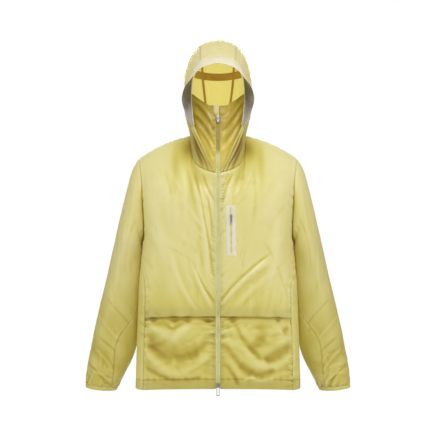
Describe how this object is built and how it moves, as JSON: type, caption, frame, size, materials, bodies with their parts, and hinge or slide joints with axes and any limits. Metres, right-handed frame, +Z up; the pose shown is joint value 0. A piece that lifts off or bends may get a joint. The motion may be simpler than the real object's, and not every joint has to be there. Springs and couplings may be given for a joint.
{
  "type": "hooded windbreaker jacket",
  "caption": "Thin hooded windbreaker in worn shape: fronts closed by a zip, flap pockets below, chest zip pocket, long sleeves with elastic cuffs, hood with brim and inner collar.",
  "frame": {"origin": "between the shoulders at the height of the neck points, at mid depth of the neck, where the wearer's shoulders hold the jacket", "axes": "+Z up, the front faces -Y, +X towards the wearer's left"},
  "size_m": [0.7448, 0.2694, 0.984],
  "materials": {
    "nylon": "thin plain-woven nylon, soft satin sheen, lets light through",
    "brim_cloth": "pale cream nylon, matt",
    "facing": "grey coated inner face of the brim, matt",
    "bonded_patch": "pale grey film bonded round the chest zip, matt",
    "channel": "doubled nylon over elastic, inside the hood",
    "elastic": "narrow elastic binding in the jacket's colour",
    "zip_tape": "woven zip tape with a fine coil, in the jacket's colour",
    "zip_metal": "plain die-cast zip metal, satin"
  },
  "bodies": {
    "jacket": {"back": "nylon", "brim": "brim_cloth", "brim_facing": "facing", "collar_left": "nylon", "collar_right": "nylon", "cuff_left": "elastic", "cuff_right": "elastic", "front_left": "nylon", "front_right": "nylon", "hood_centre": "nylon", "hood_channel": "channel", "hood_side_left": "nylon", "hood_side_right": "nylon", "lower_front_left": "nylon", "lower_front_right": "nylon", "pocket_patch": "bonded_patch", "pocket_zip": "zip_tape", "sleeve_top_left": "nylon", "sleeve_top_right": "nylon", "sleeve_under_left": "nylon", "sleeve_under_right": "nylon", "slider_hem": "zip_metal", "slider_pocket": "zip_metal", "slider_top": "zip_metal", "zip_chain": "zip_tape", "zip_garage": "brim_cloth", "zip_tape_left": "zip_tape", "zip_tape_right": "zip_tape"},
    "pull_top": {"pull_top": "zip_metal"},
    "pull_hem": {"pull_hem": "zip_metal"},
    "pull_pocket": {"pull_pocket": "zip_metal"}
  },
  "joints": [
    {"name": "pull_top_swing", "type": "hinge", "parent": "jacket", "child": "pull_top", "pos_m": [0, -0.11066, 0.0471], "axis": [-1, 0, 0], "range_deg": [0, 150]},
    {"name": "pull_hem_swing", "type": "hinge", "parent": "jacket", "child": "pull_hem", "pos_m": [0, -0.13886, -0.6792], "axis": [-1, 0, 0], "range_deg": [0, 150]},
    {"name": "pull_pocket_swing", "type": "hinge", "parent": "jacket", "child": "pull_pocket", "pos_m": [0.0358, -0.13677, -0.2222], "axis": [-1, 0, 0], "range_deg": [0, 150]}
  ]
}
